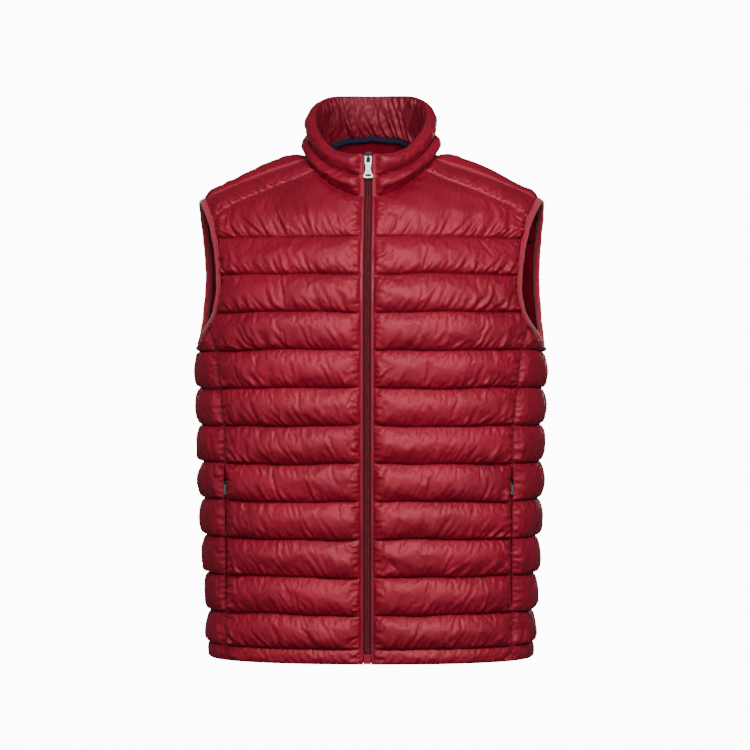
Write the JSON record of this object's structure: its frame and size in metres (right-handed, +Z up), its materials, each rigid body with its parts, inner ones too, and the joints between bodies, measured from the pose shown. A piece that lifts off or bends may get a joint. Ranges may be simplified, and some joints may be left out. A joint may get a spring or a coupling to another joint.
{
  "type": "puffer vest",
  "caption": "Sleeveless padded vest with a stand-up collar, level quilted channels, a full-length front zip, bound armholes and two side-seam zip pockets, hollow and filled out as worn.",
  "frame": {"origin": "midway between the neck ends of the two shoulder lines, at their height, where the wearer's shoulders carry the vest", "axes": "+X towards the wearer's left, -Y out of the front zip, +Z up"},
  "size_m": [0.445, 0.2841, 0.7043],
  "materials": {
    "shell": "glossy woven nylon",
    "lining": "glossy woven nylon",
    "neck_tape": "matte twill tape",
    "binding": "matte elastic knit",
    "zip_tape": "matte woven tape",
    "zip_chain": "satin coil",
    "slider": "polished gunmetal",
    "pull": "polished"
  },
  "bodies": {
    "vest": {"front_left": "shell", "front_right": "shell", "side_panel_left": "shell", "side_panel_right": "shell", "front_yoke_left": "shell", "front_yoke_right": "shell", "back": "shell", "collar": "shell", "collar_lining": "lining", "neck_tape": "neck_tape", "armhole_binding_left": "binding", "armhole_binding_right": "binding", "zip_tape_left": "zip_tape", "zip_tape_right": "zip_tape", "zip_chain_left": "zip_chain", "zip_chain_right": "zip_chain", "zip_slider": "slider", "zip_box": "shell", "pocket_zip_left": "zip_tape", "pocket_zip_right": "zip_tape", "pocket_slider_left": "slider", "pocket_slider_right": "slider"},
    "front_pull": {"zip_pull": "pull"},
    "left_pocket_pull": {"pocket_pull_left": "pull"},
    "right_pocket_pull": {"pocket_pull_right": "pull"}
  },
  "joints": [
    {"name": "front_pull_swing", "type": "hinge", "parent": "vest", "child": "front_pull", "pos_m": [0, -0.0972, -0.00268], "axis": [-1, 0, 0], "range_deg": [0, 165]},
    {"name": "left_pocket_pull_swing", "type": "hinge", "parent": "vest", "child": "left_pocket_pull", "pos_m": [0.17535, -0.09001, -0.399], "axis": [-0.6992, -0.7149, 0], "range_deg": [0, 150]},
    {"name": "right_pocket_pull_swing", "type": "hinge", "parent": "vest", "child": "right_pocket_pull", "pos_m": [-0.17535, -0.09001, -0.399], "axis": [-0.6992, 0.7149, 0], "range_deg": [0, 150]}
  ]
}
